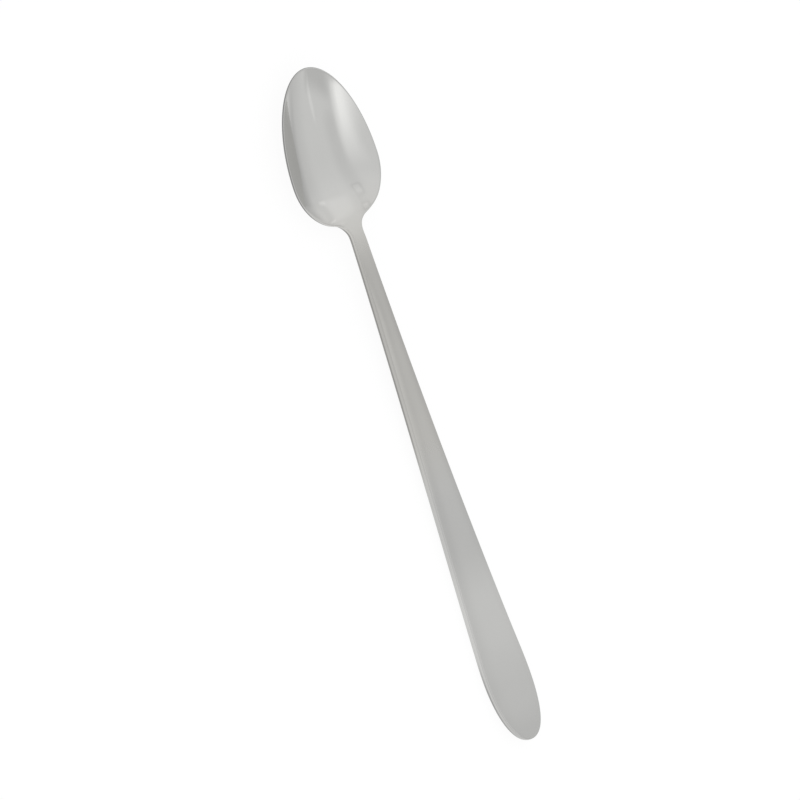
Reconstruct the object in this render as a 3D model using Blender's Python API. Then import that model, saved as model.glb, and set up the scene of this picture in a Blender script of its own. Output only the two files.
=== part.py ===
# Long-handled cocktail spoon, pressed from one blank of satin stainless steel.
# It lies as it rests on a table: +Z up, bowl towards -X, handle towards +X, origin under its middle.

import math

import bmesh
import bpy

# Driving dimensions, in metres
OVERALL_LENGTH = 0.200
BOWL_FRONT = 0.0290  # from the tip back to the widest place of the bowl
BOWL_BACK = 0.0154  # from the widest place back to the heel, where the outline would close
BOWL_WIDTH = 0.0290
BOWL_DEPTH = 0.0053  # from the rim down to the floor, at the deepest place
BOWL_WALL = 0.0009
HOLLOW_DEEPEST = 0.0260  # from the tip back to the deepest place
HOLLOW_RUNOUT = 0.0066  # the hollow runs out into the neck this far behind the heel
HEEL_RUN = 0.0112  # before the heel, the wall thickens over this length
NECK_WIDTH = 0.0044
NECK_FILLET = 0.0048  # radius in plan where the heel runs into the neck
NECK_DIP = 0.00105  # how far the edge sinks where the rim runs into the neck
NECK_DIP_REACH = 0.0025
HANDLE_WIDTH = 0.0147  # where the end starts to round off
HANDLE_EDGE = 0.0023  # thickness of the neck and the handle at their edge
EDGE_ROUND = 0.0006  # the edge is rounded this far inwards, less on a thin wall
HANDLE_CROWN = 0.0009  # the upper face stands this much higher along its middle
CROWN_RUN = 0.0300  # behind the heel, the crown grows over this length
END_ROUND = 0.0260  # length of the rounded end
END_LIFT = 0.0016  # the rounded end turns up this much
REST_LENGTH = 0.0060  # just before the end, the stretch that lies flat on the table

# Fullness of the curves: 2 is an ellipse or a parabola, more is squarer
TIP_FULLNESS = 1.98
HEEL_FULLNESS = 2.12
END_FULLNESS = 2.20
FLOOR_FULLNESS = 2.00
RUNOUT_FULLNESS = 2.05
HANDLE_SWELL = 1.43  # 1 is a straight taper from the neck to the handle's widest place
SIDE_SWEEP = 1.44  # 1 is a straight rise from the table to the tip of the bowl

# Fineness of the surface
SEGMENTS_AROUND = 28  # a multiple of four, so that the edge has points of its own
RINGS_ON_BOWL = 44
RINGS_ON_HANDLE = 48

STEEL_COLOUR = (0.60, 0.59, 0.58, 1.0)
STEEL_ROUGHNESS = 0.32

# Places along the spoon, measured from the tip of the bowl
HEEL = BOWL_FRONT + BOWL_BACK
END_START = OVERALL_LENGTH - END_ROUND
REST_START = END_START - REST_LENGTH
HOLLOW_END = HEEL + HOLLOW_RUNOUT

SOLVER_STEPS = 48
SAMPLES = 240
SLOPE_STEP = 1e-5
TINY = 1e-9  # keeps divisions away from zero


def limited(value, low=0.0, high=1.0):
    return max(low, min(high, value))


def eased(value):
    share = limited(value)
    return share * share * (3 - 2 * share)


def quarter_curve(share, fullness):
    # 1 at share 0, falling to 0 at share 1 along a superellipse
    return (1 - limited(share) ** fullness) ** (1 / fullness)


def bowl_half_width(x):
    if x < BOWL_FRONT:
        return BOWL_WIDTH / 2 * quarter_curve((BOWL_FRONT - x) / BOWL_FRONT, TIP_FULLNESS)
    return BOWL_WIDTH / 2 * quarter_curve((x - BOWL_FRONT) / BOWL_BACK, HEEL_FULLNESS)


def end_share(x):
    # 0 up to where the end starts to round off, 1 at the very end
    return limited((x - END_START) / END_ROUND)


def stem_half_width(x):
    share = max(0.0, (x - HEEL) / (END_START - HEEL))
    swollen = NECK_WIDTH / 2 + (HANDLE_WIDTH - NECK_WIDTH) / 2 * share**HANDLE_SWELL
    return swollen * quarter_curve(end_share(x), END_FULLNESS)


def neck_fillet():
    # Where an arc of the fillet's radius leaves the heel, and where it meets the stem
    heel_places = [BOWL_FRONT + BOWL_BACK * step / SAMPLES for step in range(SAMPLES + 1)]
    centre_y = NECK_WIDTH / 2 + NECK_FILLET

    def distance(place, centre_x):
        return math.hypot(place - centre_x, bowl_half_width(place) - centre_y)

    near, far = HEEL - NECK_FILLET, HEEL + 3 * NECK_FILLET
    for _ in range(SOLVER_STEPS):
        middle = (near + far) / 2
        if min(distance(place, middle) for place in heel_places) < NECK_FILLET:
            near = middle
        else:
            far = middle
    return min(heel_places, key=lambda place: distance(place, far)), far


FILLET_START, FILLET_END = neck_fillet()


def half_width(x):
    if x < FILLET_START:
        return bowl_half_width(x)
    if x < FILLET_END:
        arc = math.sqrt(max(0.0, NECK_FILLET**2 - (x - FILLET_END) ** 2))
        return stem_half_width(x) + NECK_FILLET - arc
    return stem_half_width(x)


def thickness(x):
    return BOWL_WALL + (HANDLE_EDGE - BOWL_WALL) * eased((x - HEEL + HEEL_RUN) / HEEL_RUN)


def depth_share(x):
    # 1 at the deepest place, falling to 0 at the tip, and softly to 0 on the neck
    before = limited((HOLLOW_DEEPEST - x) / HOLLOW_DEEPEST)
    behind = limited((x - HOLLOW_DEEPEST) / (HOLLOW_END - HOLLOW_DEEPEST))
    return (1 - before**FLOOR_FULLNESS) * (1 - behind**RUNOUT_FULLNESS) ** 2


def dish(x, across):
    # How far the hollow sinks below the edge, at a share of the half width
    return BOWL_DEPTH * depth_share(x) * (1 - abs(across) ** FLOOR_FULLNESS)


def sweep(x):
    return (max(0.0, REST_START - x) / REST_START) ** SIDE_SWEEP


def neck_dip(x, across):
    return NECK_DIP * math.exp(-(((x - HEEL) / NECK_DIP_REACH) ** 2)) * across**2


def crown(x, across):
    # How far the upper face rises towards its middle, less where the end narrows
    share = eased((x - HEEL) / CROWN_RUN) * quarter_curve(end_share(x), END_FULLNESS)
    return HANDLE_CROWN * share * (1 - across**2)


def half_sheet(x, across):
    # Half the metal's thickness, measured upright: a steep wall of the bowl counts for more
    rim_slope = BOWL_DEPTH * depth_share(x) * FLOOR_FULLNESS / max(TINY, half_width(x))
    return thickness(x) / 2 * math.hypot(1, rim_slope * abs(across) ** (FLOOR_FULLNESS - 1))


def tip_rise():
    # The edge climbs to the tip just enough for the underside of the bowl to touch the table
    places = [HEEL * step / SAMPLES for step in range(1, SAMPLES)]
    return max(
        (dish(x, 0.0) + half_sheet(x, 0.0) - HANDLE_EDGE / 2) / sweep(x) for x in places
    )


TIP_RISE = tip_rise()


def edge_height(x):
    return HANDLE_EDGE / 2 + TIP_RISE * sweep(x) + END_LIFT * end_share(x) ** 2


def inset(x, y):
    # Distance in plan from the outline, exact close to it
    ahead = min(OVERALL_LENGTH, x + SLOPE_STEP)
    behind = max(0.0, x - SLOPE_STEP)
    slope = (half_width(ahead) ** 2 - half_width(behind) ** 2) / (ahead - behind)
    return (half_width(x) ** 2 - y * y) / max(TINY, math.hypot(slope, 2 * y))


def skin_height(x, across, is_top):
    # Height of the upper or the lower skin at a share of the half width, with a round edge
    y = half_width(x) * across
    rounding = min(EDGE_ROUND, thickness(x) / 2)
    roundness = math.sqrt(1 - (1 - limited(inset(x, y) / rounding)) ** 2)
    middle = edge_height(x) - dish(x, across) - neck_dip(x, across)
    half = half_sheet(x, across) * roundness
    return middle + half + crown(x, across) if is_top else middle - half


def ring_place(ring):
    # Rings lie close together at the tip, at the neck and at the end of the handle
    if ring <= RINGS_ON_BOWL:
        return HOLLOW_END * (1 - math.cos(math.pi * ring / RINGS_ON_BOWL)) / 2
    share = (ring - RINGS_ON_BOWL) / RINGS_ON_HANDLE
    return HOLLOW_END + (OVERALL_LENGTH - HOLLOW_END) * math.sin(math.pi / 2 * share)


def satin_steel():
    material = bpy.data.materials.new("satin_steel")
    material.use_nodes = True
    shader = material.node_tree.nodes["Principled BSDF"]
    shader.inputs["Base Color"].default_value = STEEL_COLOUR
    shader.inputs["Metallic"].default_value = 1.0
    shader.inputs["Roughness"].default_value = STEEL_ROUGHNESS
    return material


def spoon_mesh():
    # A ball is drawn out along the spoon: its poles become the tip and the end of the handle
    rings = RINGS_ON_BOWL + RINGS_ON_HANDLE
    shape = bmesh.new()
    bmesh.ops.create_uvsphere(shape, u_segments=SEGMENTS_AROUND, v_segments=rings, radius=1.0)
    for vertex in shape.verts:
        up, side, along = vertex.co
        x = ring_place(round(math.acos(limited(along, -1.0)) / math.pi * rings))
        across = side / max(TINY, math.hypot(up, side))
        y = half_width(x) * across
        vertex.co = (x - OVERALL_LENGTH / 2, y, skin_height(x, across, up > 0))
    mesh = bpy.data.meshes.new("spoon")
    shape.to_mesh(mesh)
    shape.free()
    mesh.shade_smooth()
    return mesh


def main():
    for old in list(bpy.data.objects):
        bpy.data.objects.remove(old, do_unlink=True)
    collection = bpy.data.collections.new("cocktail_spoon")
    bpy.context.scene.collection.children.link(collection)
    spoon = bpy.data.objects.new("spoon", spoon_mesh())
    spoon.data.materials.append(satin_steel())
    collection.objects.link(spoon)


main()
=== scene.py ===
import math

import bmesh
import bpy
from mathutils import Matrix, Vector


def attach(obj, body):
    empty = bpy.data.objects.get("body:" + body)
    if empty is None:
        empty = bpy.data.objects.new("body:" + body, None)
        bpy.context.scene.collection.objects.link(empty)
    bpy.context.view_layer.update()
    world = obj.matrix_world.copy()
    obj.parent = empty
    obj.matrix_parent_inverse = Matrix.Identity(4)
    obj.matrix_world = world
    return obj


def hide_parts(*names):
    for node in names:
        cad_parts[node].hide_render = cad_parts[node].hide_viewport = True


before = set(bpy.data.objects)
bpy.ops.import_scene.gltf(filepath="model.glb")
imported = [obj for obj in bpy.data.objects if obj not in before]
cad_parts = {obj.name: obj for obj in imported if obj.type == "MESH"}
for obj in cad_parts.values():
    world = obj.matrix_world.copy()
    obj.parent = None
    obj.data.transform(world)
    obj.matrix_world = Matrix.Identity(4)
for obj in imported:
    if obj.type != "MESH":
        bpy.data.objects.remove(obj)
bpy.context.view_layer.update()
print("frame loaded with", sorted(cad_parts))


class Wire:  # a node's socket that can stand in a sum
    def __init__(self, net, socket):
        self.net = net
        self.socket = socket

    def __add__(self, other):
        return self.net.math("ADD", self, other)

    def __radd__(self, other):
        return self.net.math("ADD", other, self)

    def __sub__(self, other):
        return self.net.math("SUBTRACT", self, other)

    def __rsub__(self, other):
        return self.net.math("SUBTRACT", other, self)

    def __mul__(self, other):
        return self.net.math("MULTIPLY", self, other)

    def __rmul__(self, other):
        return self.net.math("MULTIPLY", other, self)

    def __truediv__(self, other):
        return self.net.math("DIVIDE", self, other)

    def __rtruediv__(self, other):
        return self.net.math("DIVIDE", other, self)

    def __pow__(self, other):
        return self.net.math("POWER", self, other)


class Net:  # adds nodes to one tree
    def __init__(self, tree):
        self.tree = tree

    def add(self, kind, settings=None, sockets=None, pick=0):
        node = self.tree.nodes.new(kind)
        for name, value in (settings or {}).items():
            setattr(node, name, value)
        for name, value in (sockets or {}).items():
            if isinstance(value, Wire):
                self.tree.links.new(value.socket, node.inputs[name])
            else:
                node.inputs[name].default_value = value
        if isinstance(pick, tuple):
            return [Wire(self, node.outputs[name]) for name in pick]
        return Wire(self, node.outputs[pick]) if node.outputs else node

    def math(self, operation, *values):
        return self.add("ShaderNodeMath", {"operation": operation}, dict(enumerate(values)))


def either(operation, plain, *values):  # a node where a wire comes in, a plain sum where only numbers do
    for value in values:
        if isinstance(value, Wire):
            return value.net.math(operation, *values)
    return plain(*values)


def larger(a, b):
    return either("MAXIMUM", max, a, b)


def smaller(a, b):
    return either("MINIMUM", min, a, b)


def isBelow(a, b):
    return either("LESS_THAN", lambda p, q: float(p < q), a, b)


def root(value):
    return either("SQRT", math.sqrt, value)


def magnitude(value):
    return either("ABSOLUTE", abs, value)


def limited(value):
    return larger(0.0, smaller(1.0, value))


def eased(value):
    share = limited(value)
    return share * share * (3 - 2 * share)


# The spoon's sizes, in metres, as the frame has them
spoonSizes = {
    "overallLength": 0.200,
    "bowlFront": 0.0290,  # tip to the widest place
    "bowlBack": 0.0154,  # widest place to the heel
    "bowlWidth": 0.0290,
    "bowlDepth": 0.0053,
    "bowlWall": 0.0009,
    "hollowDeepest": 0.0260,  # tip to the deepest place
    "hollowRunout": 0.0066,  # behind the heel
    "heelRun": 0.0112,  # the wall thickens before the heel
    "neckWidth": 0.0044,
    "neckFillet": 0.0048,
    "neckDip": 0.00105,  # the edge sinks at the heel
    "neckDipReach": 0.0025,
    "handleWidth": 0.0147,
    "handleEdge": 0.0023,  # thickness at the edge
    "edgeRound": 0.0006,  # inwards from the edge
    "handleCrown": 0.0009,
    "crownRun": 0.0300,  # behind the heel
    "endRound": 0.0260,
    "endLift": 0.0016,
    "restLength": 0.0060,  # flat underneath, before the end
    "tipFullness": 1.98,  # 2 is an ellipse, more is squarer
    "heelFullness": 2.12,
    "endFullness": 2.20,
    "floorFullness": 2.00,
    "runoutFullness": 2.05,
    "handleSwell": 1.43,
    "sideSweep": 1.44,
}
spoonMesh = {
    "segmentsAround": 192,  # a multiple of four, so the edge has points of its own
    "ringsAlong": 420,
    "bowlShare": 0.6,  # of the rings
    "slopeStep": 0.00004,
    "solverSteps": 48,
    "samples": 240,
    "tiny": 1e-6,  # keeps divisions away from zero
    "tinyArea": 1e-9,
}


def withPlaces(s):  # places along the spoon, measured from the tip of the bowl
    placed = dict(s)
    placed["heel"] = s["bowlFront"] + s["bowlBack"]
    placed["endStart"] = s["overallLength"] - s["endRound"]
    placed["restStart"] = placed["endStart"] - s["restLength"]
    placed["hollowEnd"] = placed["heel"] + s["hollowRunout"]
    return placed


def quarterCurve(share, fullness):  # 1 at share 0, falling to 0 at share 1 along a superellipse
    return (1 - limited(share) ** fullness) ** (1 / fullness)


def bowlHalfWidth(x, s):
    front = quarterCurve((s["bowlFront"] - x) / s["bowlFront"], s["tipFullness"])
    back = quarterCurve((x - s["bowlFront"]) / s["bowlBack"], s["heelFullness"])
    return s["bowlWidth"] / 2 * front * back


def endShare(x, s):  # 0 up to where the end starts to round off, 1 at the very end
    return limited((x - s["endStart"]) / s["endRound"])


def stemHalfWidth(x, s):
    share = larger(0.0, (x - s["heel"]) / (s["endStart"] - s["heel"]))
    swollen = s["neckWidth"] / 2 + (s["handleWidth"] - s["neckWidth"]) / 2 * share ** s["handleSwell"]
    return swollen * quarterCurve(endShare(x, s), s["endFullness"])


def halfWidth(x, s):  # the bowl, then the fillet's arc, then the stem
    beforeStem = smaller(0.0, x - s["filletEnd"])
    arc = s["neckFillet"] - root(larger(0.0, s["neckFillet"] ** 2.0 - beforeStem * beforeStem))
    onBowl = isBelow(x, s["filletStart"])
    return onBowl * bowlHalfWidth(x, s) + (1 - onBowl) * (stemHalfWidth(x, s) + arc)


def thickness(x, s):
    thickened = eased((x - s["heel"] + s["heelRun"]) / s["heelRun"])
    return s["bowlWall"] + (s["handleEdge"] - s["bowlWall"]) * thickened


def depthShare(x, s):  # 1 at the deepest place, 0 at the tip and on the neck
    before = limited((s["hollowDeepest"] - x) / s["hollowDeepest"])
    behind = limited((x - s["hollowDeepest"]) / (s["hollowEnd"] - s["hollowDeepest"]))
    return (1 - before ** s["floorFullness"]) * (1 - behind ** s["runoutFullness"]) ** 2.0


def dish(x, across, s):  # how far the hollow sinks below the edge, at a share of the half width
    return s["bowlDepth"] * depthShare(x, s) * (1 - magnitude(across) ** s["floorFullness"])


def sweep(x, s):
    return (larger(0.0, s["restStart"] - x) / s["restStart"]) ** s["sideSweep"]


def neckDip(x, across, s):
    reach = (x - s["heel"]) / s["neckDipReach"]
    return s["neckDip"] * either("EXPONENT", math.exp, 0 - reach * reach) * across * across


def crown(x, across, s):  # how far the upper face rises towards its middle
    share = eased((x - s["heel"]) / s["crownRun"]) * quarterCurve(endShare(x, s), s["endFullness"])
    return s["handleCrown"] * share * (1 - across * across)


def halfSheet(x, across, s):  # half the metal's thickness, measured upright
    rimSlope = s["bowlDepth"] * depthShare(x, s) * s["floorFullness"]
    rimSlope = rimSlope / larger(spoonMesh["tiny"], halfWidth(x, s))
    slope = rimSlope * magnitude(across) ** (s["floorFullness"] - 1)
    return thickness(x, s) / 2 * root(1 + slope * slope)


def neckFillet(s):  # where the fillet's arc leaves the heel, and where it meets the stem
    steps = spoonMesh["samples"]
    heelPlaces = [s["bowlFront"] + s["bowlBack"] * step / steps for step in range(steps + 1)]
    centreY = s["neckWidth"] / 2 + s["neckFillet"]

    def distance(place, centreX):
        return math.hypot(place - centreX, bowlHalfWidth(place, s) - centreY)

    near = s["heel"] - s["neckFillet"]
    far = s["heel"] + 3 * s["neckFillet"]
    for _ in range(spoonMesh["solverSteps"]):
        middle = (near + far) / 2
        if min(distance(place, middle) for place in heelPlaces) < s["neckFillet"]:
            near = middle
        else:
            far = middle
    return min(heelPlaces, key=lambda place: distance(place, far)), far


def tipRise(s):  # the edge climbs just enough for the underside of the bowl to touch the table
    places = [s["heel"] * step / spoonMesh["samples"] for step in range(1, spoonMesh["samples"])]
    needs = []
    for x in places:
        below = dish(x, 0.0, s) + halfSheet(x, 0.0, s) - s["handleEdge"] / 2
        needs.append(below / sweep(x, s))
    return max(needs)


# The painted shade along the edge, a dark line standing in for the edge's reflection of the shadowed floor:
# how far it reaches in from the outline, in metres, and how sharply it ends
paintedEdgeShadeSettings = {
    "topReach": 0.00018,  # on the rim of the bowl, and less on a thicker edge
    "underReach": 0.00020,
    "lineSharpness": 1.5,
    "rimReach": 0.00068,  # a fainter band of painted shade beside the line
    "rimSharpness": 2.0,
    "rimShare": 0.18,  # of the line's strength
}


def spoonTree(finish):
    tree = bpy.data.node_groups.new("spoonFromBall", "GeometryNodeTree")
    net = Net(tree)
    solved = withPlaces(spoonSizes)
    solved["filletStart"], solved["filletEnd"] = neckFillet(solved)
    solved["tipRise"] = tipRise(solved)
    inputs = {name: solved[name] for name in (*spoonSizes, "filletStart", "filletEnd", "tipRise")}
    identifiers = {}
    for name, value in inputs.items():
        socket = tree.interface.new_socket(name, in_out="INPUT", socket_type="NodeSocketFloat")
        identifiers[socket.identifier] = value
    tree.interface.new_socket("Spoon", in_out="OUTPUT", socket_type="NodeSocketGeometry")
    names = tuple(inputs)
    s = withPlaces(dict(zip(names, net.add("NodeGroupInput", pick=names))))

    ball = net.add(
        "GeometryNodeMeshUVSphere",
        sockets={"Segments": spoonMesh["segmentsAround"], "Rings": spoonMesh["ringsAlong"], "Radius": 1.0},
    )
    place = net.add("GeometryNodeInputPosition")
    up, side, along = net.add("ShaderNodeSeparateXYZ", sockets={0: place}, pick=("X", "Y", "Z"))
    ring = net.math("ARCCOSINE", along) / math.pi  # the ball's poles become the tip and the handle's end
    bowlShare = spoonMesh["bowlShare"]
    bowlPlace = s["hollowEnd"] * (1 - net.math("COSINE", limited(ring / bowlShare) * math.pi)) / 2
    handleShare = limited((ring - bowlShare) / (1 - bowlShare))
    handlePlace = (s["overallLength"] - s["hollowEnd"]) * net.math("SINE", handleShare * math.pi / 2)
    x = bowlPlace + handlePlace
    across = side / larger(spoonMesh["tiny"], root(up * up + side * side))
    reach = halfWidth(x, s)
    y = reach * across

    ahead = smaller(s["overallLength"], x + spoonMesh["slopeStep"])
    behind = larger(0.0, x - spoonMesh["slopeStep"])
    slope = (halfWidth(ahead, s) ** 2.0 - halfWidth(behind, s) ** 2.0) / (ahead - behind)
    steepness = root(slope * slope + 4 * y * y)
    inset = (reach * reach - y * y) / larger(spoonMesh["tinyArea"], steepness)  # in from the outline
    edgeShare = 1 - limited(inset / smaller(s["edgeRound"], thickness(x, s) / 2))
    roundness = root(1 - edgeShare * edgeShare)
    edgeHeight = s["handleEdge"] / 2 + s["tipRise"] * sweep(x, s) + s["endLift"] * endShare(x, s) ** 2.0
    middle = edgeHeight - dish(x, across, s) - neckDip(x, across, s)
    half = halfSheet(x, across, s) * roundness
    isTop = isBelow(0.0, up)
    z = middle + isTop * (half + crown(x, across, s)) - (1 - isTop) * half

    # painted shade: a dark line along the edge, kept as an attribute for the material
    thinness = s["bowlWall"] / thickness(x, s)
    topReach = paintedEdgeShadeSettings["topReach"] * thinness * thinness
    lineReach = isTop * topReach + (1 - isTop) * paintedEdgeShadeSettings["underReach"]
    paintedEdgeShade = eased(paintedEdgeShadeSettings["lineSharpness"] * (1 - inset / lineReach))
    paintedRimShade = isTop * thinness * eased(paintedEdgeShadeSettings["rimSharpness"] * (1 - inset / paintedEdgeShadeSettings["rimReach"]))
    paintedEdgeShade = larger(paintedEdgeShade, paintedEdgeShadeSettings["rimShare"] * paintedRimShade)
    shape = net.add(
        "GeometryNodeStoreNamedAttribute",
        {"data_type": "FLOAT", "domain": "POINT"},
        {"Geometry": ball, "Name": "paintedEdgeShade", "Value": paintedEdgeShade},
    )
    spot = net.add("ShaderNodeCombineXYZ", sockets={0: x - s["overallLength"] / 2, 1: y, 2: z})
    shape = net.add("GeometryNodeSetPosition", sockets={"Geometry": shape, "Position": spot})
    shape = net.add("GeometryNodeSetShadeSmooth", sockets={0: shape})
    shape = net.add("GeometryNodeRealizeInstances", sockets={0: shape})
    shape = net.add("GeometryNodeSetMaterial", sockets={"Geometry": shape, "Material": finish})
    net.add("NodeGroupOutput", sockets={0: shape})
    return tree, identifiers


def makeSpoon(finish):
    tree, identifiers = spoonTree(finish)
    holder = bpy.data.objects.new("spoonHolder", bpy.data.meshes.new("spoonHolder"))
    bpy.context.scene.collection.objects.link(holder)
    modifier = holder.modifiers.new("spoonFromBall", "NODES")
    modifier.node_group = tree
    for identifier, value in identifiers.items():
        modifier[identifier] = value
    evaluated = holder.evaluated_get(bpy.context.evaluated_depsgraph_get())
    mesh = bpy.data.meshes.new_from_object(evaluated)
    bpy.data.objects.remove(holder)
    spoon = bpy.data.objects.new("satinSpoon", mesh)
    bpy.context.scene.collection.objects.link(spoon)
    print("spoon made with", len(mesh.polygons), "faces")
    return spoon


steelFinishAndPaintedLight = {
    "colour": (0.60, 0.599, 0.586),
    "stemColour": (0.60, 0.592, 0.566),
    # each run: from where to where along the spoon something changes, and by how much
    "stemRuns": [(-0.068, -0.050, 1.0), (0.004, 0.028, -1.0)],  # where the stem's colour comes and goes
    "handleRuns": [(-0.060, -0.045, 1.0)],  # where the bowl's finish gives way to the handle's
    # painted light and shade: lighter and darker stretches along the spoon, standing in for reflections of
    # the surroundings
    "paintedLightRuns": [
        (-0.057, -0.040, -0.20),
        (-0.034, -0.012, 0.055),
        (-0.008, 0.012, 0.03),
        (0.012, 0.028, -0.015),
        (0.040, 0.058, 0.112),
        (0.066, 0.084, -0.07),
        (0.088, 0.098, -0.06),
    ],
    "roughness": 0.08,
    "handleRoughness": 0.09,  # more of it behind the neck
    "stemRoughness": 0.13,  # and more again on the stem
    "mottleSize": 0.014,
    "mottleDetail": 3.0,
    "mottleTone": 0.05,
    "brushLength": 0.020,
    "brushWidth": 0.00015,
    "brushDetail": 2.0,
    "brushTone": 0.03,
    "brushRoughness": 0.06,
    "brushDepth": 0.0000015,
    "noiseMiddle": 0.5,
    "paintedEdgeShadeTone": -0.60,  # where the painted shade along the edge is strongest
    # where that painted shade grows weaker, goes and comes back
    "paintedEdgeShadeRuns": [(-0.058, -0.046, -0.3), (0.002, 0.026, -0.7), (0.070, 0.084, 0.7)],
}


def changed(start, x, runs):  # a value that changes along the spoon
    for low, high, change in runs:
        start = start + change * eased((x - low) / (high - low))
    return start


def satinSteel():
    finish = bpy.data.materials.new("satinSteel")
    finish.use_nodes = True
    finish.node_tree.nodes.clear()
    net = Net(finish.node_tree)
    spot = net.add("ShaderNodeTexCoord", pick="Object")
    x, y, z = net.add("ShaderNodeSeparateXYZ", sockets={0: spot}, pick=("X", "Y", "Z"))

    # the painted light and shade along the spoon; the real mottle and brush lines, and the painted edge
    # shade, join it below
    toneAndPaintedLight = changed(1.0, x, steelFinishAndPaintedLight["paintedLightRuns"])
    onHandle = changed(0.0, x, steelFinishAndPaintedLight["handleRuns"])
    onStem = changed(0.0, x, steelFinishAndPaintedLight["stemRuns"])
    # a colour mix has its factor on socket 0, its two colours on 6 and 7, and its result on 2
    colours = {0: onStem, 6: (*steelFinishAndPaintedLight["colour"], 1), 7: (*steelFinishAndPaintedLight["stemColour"], 1)}
    steel = net.add("ShaderNodeMix", {"data_type": "RGBA"}, colours, pick=2)

    mottle = net.add(
        "ShaderNodeTexNoise",
        sockets={
            "Vector": spot,
            "Scale": 1 / steelFinishAndPaintedLight["mottleSize"],
            "Detail": steelFinishAndPaintedLight["mottleDetail"],
        },
    )
    along = x / steelFinishAndPaintedLight["brushLength"]
    lines = net.add(
        "ShaderNodeCombineXYZ",
        sockets={0: along, 1: y / steelFinishAndPaintedLight["brushWidth"], 2: z / steelFinishAndPaintedLight["brushWidth"]},
    )
    brush = net.add(
        "ShaderNodeTexNoise",
        sockets={"Vector": lines, "Scale": 1.0, "Detail": steelFinishAndPaintedLight["brushDetail"]},
    )
    mottled = mottle - steelFinishAndPaintedLight["noiseMiddle"]
    brushed = brush - steelFinishAndPaintedLight["noiseMiddle"]

    # the painted shade along the edge, read from that attribute, darkens the colour
    paintedEdgeShade = net.add("ShaderNodeAttribute", {"attribute_name": "paintedEdgeShade"}, pick="Fac")
    paintedEdgeShade = paintedEdgeShade * changed(1.0, x, steelFinishAndPaintedLight["paintedEdgeShadeRuns"])
    toneAndPaintedLight = toneAndPaintedLight + steelFinishAndPaintedLight["mottleTone"] * mottled
    toneAndPaintedLight = toneAndPaintedLight + steelFinishAndPaintedLight["brushTone"] * brushed
    toneAndPaintedLight = toneAndPaintedLight * (1 + steelFinishAndPaintedLight["paintedEdgeShadeTone"] * paintedEdgeShade)
    colour = net.add("ShaderNodeVectorMath", {"operation": "SCALE"}, {0: steel, "Scale": toneAndPaintedLight})
    roughness = steelFinishAndPaintedLight["roughness"] + steelFinishAndPaintedLight["handleRoughness"] * onHandle
    roughness = roughness + steelFinishAndPaintedLight["stemRoughness"] * onStem * onHandle
    roughness = roughness + steelFinishAndPaintedLight["brushRoughness"] * brushed
    bump = net.add("ShaderNodeBump", sockets={"Height": brush, "Distance": steelFinishAndPaintedLight["brushDepth"]})
    shader = net.add(
        "ShaderNodeBsdfPrincipled",
        sockets={"Base Color": colour, "Metallic": 1.0, "Roughness": roughness, "Normal": bump},
    )
    net.add("ShaderNodeOutputMaterial", sockets={"Surface": shader})
    return finish


floorSettings = {
    "side": 6.0,
    "drop": 0.00005,  # below the spoon, so that the two don't share a plane
    "colour": 0.92,
    "cameraWhite": 0.90,  # of the floor's own white: the rest is lit, and takes the shadow
    "mirrorWhite": 0.75,
    "litGain": 1.2,
}


def makeFloor():
    shape = bmesh.new()
    bmesh.ops.create_grid(shape, x_segments=1, y_segments=1, size=floorSettings["side"] / 2)
    bmesh.ops.translate(shape, verts=shape.verts, vec=(0, 0, -floorSettings["drop"]))
    mesh = bpy.data.meshes.new("floor")
    shape.to_mesh(mesh)
    shape.free()
    paper = bpy.data.materials.new("whitePaper")
    paper.use_nodes = True
    paper.node_tree.nodes.clear()
    net = Net(paper.node_tree)
    isCamera, isGlossy, isClear = net.add(
        "ShaderNodeLightPath", pick=("Is Camera Ray", "Is Glossy Ray", "Is Transmission Ray")
    )
    isMirrored = larger(isGlossy, isClear)
    ownWhite = isCamera * floorSettings["cameraWhite"] + isMirrored * floorSettings["mirrorWhite"]
    paleness = smaller(floorSettings["colour"], (1 - ownWhite) * floorSettings["litGain"])
    lit = net.add("ShaderNodeBsdfDiffuse", sockets={"Color": paleness})
    white = net.add("ShaderNodeEmission", sockets={"Color": (1, 1, 1, 1), "Strength": ownWhite})
    both = net.add("ShaderNodeAddShader", sockets={0: lit, 1: white})
    net.add("ShaderNodeOutputMaterial", sockets={"Surface": both})
    mesh.materials.append(paper)
    floor = bpy.data.objects.new("floor", mesh)
    bpy.context.scene.collection.objects.link(floor)


tent = {
    "level": 0.89,
    # tilts in degrees from straight up, to the handle's end and to the far side: low and high edge of
    # each, how soft those four edges are, the strength, and how far the first two edges lean
    "panels": [
        ((14, 45, -28, -8), (34, 3, 15, 9), 0.23, 0),  # softbox
        ((22, 40, -38, -14), (26, 7, 12, 6), 0.22, -0.3),  # its lamp
        ((-90, -6, -28, 80), (18, 38, 18, 14), 0.057, 0),  # pale wall beyond the bowl
        ((-90, -26, 20, 60), (18, 7, 18, 10), 0.09, 0),  # its brighter part
        ((-24, 34, -7, 11), (6, 9, 14, 18), -0.075, 0),  # seam of the tent
        ((39, 90, -4, 46), (9, 5, 20, 10), -0.16, 0.27),  # grey wall beyond the handle
        ((-9, -2, 29, 41), (5, 3, 5, 8), 0.12, 1.4),  # gap beside that wall
        ((-38, 74, 63, 120), (26, 14, 32, 20), -0.10, 0),  # darker far side
        ((-90, 80, 80, 120), (8, 16, 16, 8), -0.205, 0),  # foot of the far side
        ((-30, -18, -5, 8), (2, 2, 2, 2), -0.08, 0),  # frame of a small window
        ((-28, -20, -2, 6), (2, 2, 2, 2), 0.11, 0),  # its pane
        ((-31, -26, 58, 67), (2, 2, 2, 2), 0.14, 0),  # clip on the far side
    ],
}


def between(tilt, low, high, lowSoft, highSoft):  # 1 between two soft edges, and half on each
    return eased((tilt - low) / lowSoft + 0.5) * eased((high - tilt) / highSoft + 0.5)


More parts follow.
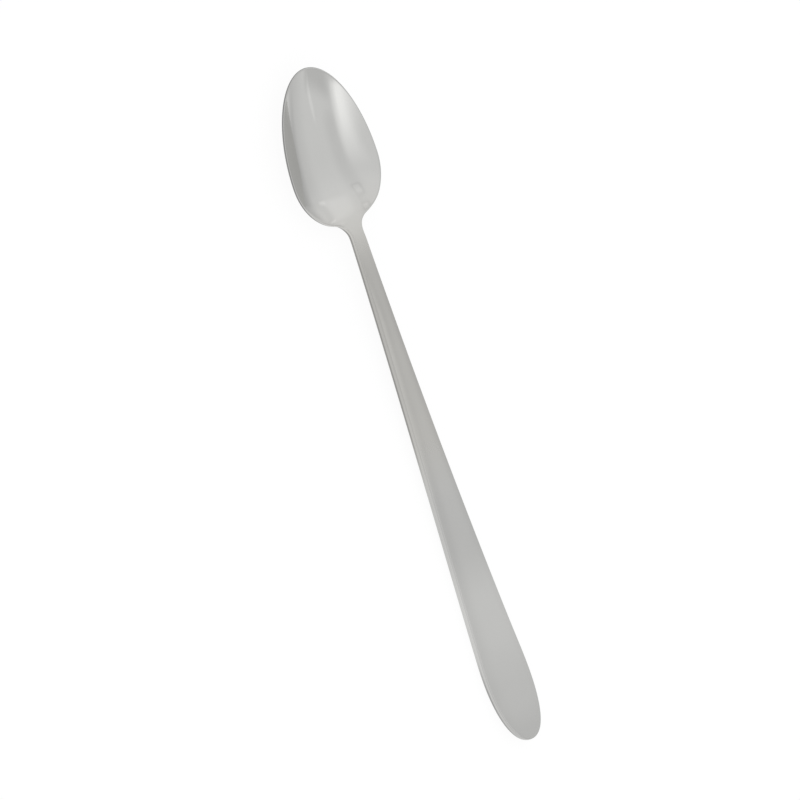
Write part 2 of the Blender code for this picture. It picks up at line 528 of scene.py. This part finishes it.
def lightTent():
    world = bpy.data.worlds.new("lightTent")
    bpy.context.scene.world = world
    world.use_nodes = True
    world.node_tree.nodes.clear()
    net = Net(world.node_tree)
    way = net.add("ShaderNodeTexCoord", pick="Generated")
    x, y, z = net.add("ShaderNodeSeparateXYZ", sockets={0: way}, pick=("X", "Y", "Z"))
    endTilt = net.math("DEGREES", net.math("ARCTAN2", x, z))
    farTilt = net.math("DEGREES", net.math("ARCTAN2", y, z))
    level = tent["level"]
    for edges, softness, strength, lean in tent["panels"]:
        leaning = endTilt - lean * farTilt if lean else endTilt
        onEnd = between(leaning, *edges[:2], *softness[:2])
        level = level + onEnd * between(farTilt, *edges[2:], *softness[2:]) * strength
    isCamera = net.add("ShaderNodeLightPath", pick="Is Camera Ray")
    shown = isCamera + (1 - isCamera) * level
    sky = net.add("ShaderNodeBackground", sockets={"Color": (1, 1, 1, 1), "Strength": shown})
    net.add("ShaderNodeOutputWorld", sockets={"Surface": sky})


cameraSettings = {
    "azimuth": -23.204,
    "elevation": 56.181,
    "roll": 90.097,
    "distance": 1.1,
    "aim": (0.0, 0.0, 0.008),
    "lens": 180.575,
    "sensor": 36.0,
    "shift": (-0.03223, 0.01355),
}


def makeCamera():
    azimuth = math.radians(cameraSettings["azimuth"])
    elevation = math.radians(cameraSettings["elevation"])
    back = Vector((math.sin(azimuth), -math.cos(azimuth), 0)) * math.cos(elevation)
    back.z = math.sin(elevation)
    level = Vector((0, 0, 1)).cross(back).normalized()
    right = Matrix.Rotation(math.radians(cameraSettings["roll"]), 3, back) @ level
    up = back.cross(right)
    data = bpy.data.cameras.new("camera")
    data.lens = cameraSettings["lens"]
    data.sensor_width = cameraSettings["sensor"]
    data.shift_x, data.shift_y = cameraSettings["shift"]
    camera = bpy.data.objects.new("camera", data)
    turn = Matrix((right, up, back)).transposed().to_4x4()
    spot = Vector(cameraSettings["aim"]) + back * cameraSettings["distance"]
    camera.matrix_world = Matrix.Translation(spot) @ turn
    bpy.context.scene.collection.objects.link(camera)
    bpy.context.scene.camera = camera


bpy.context.scene.view_settings.view_transform = "Standard"
makeCamera()
makeFloor()
lightTent()
print("camera, floor and light are set")
spoon = makeSpoon(satinSteel())
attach(spoon, "root")
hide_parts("spoon")
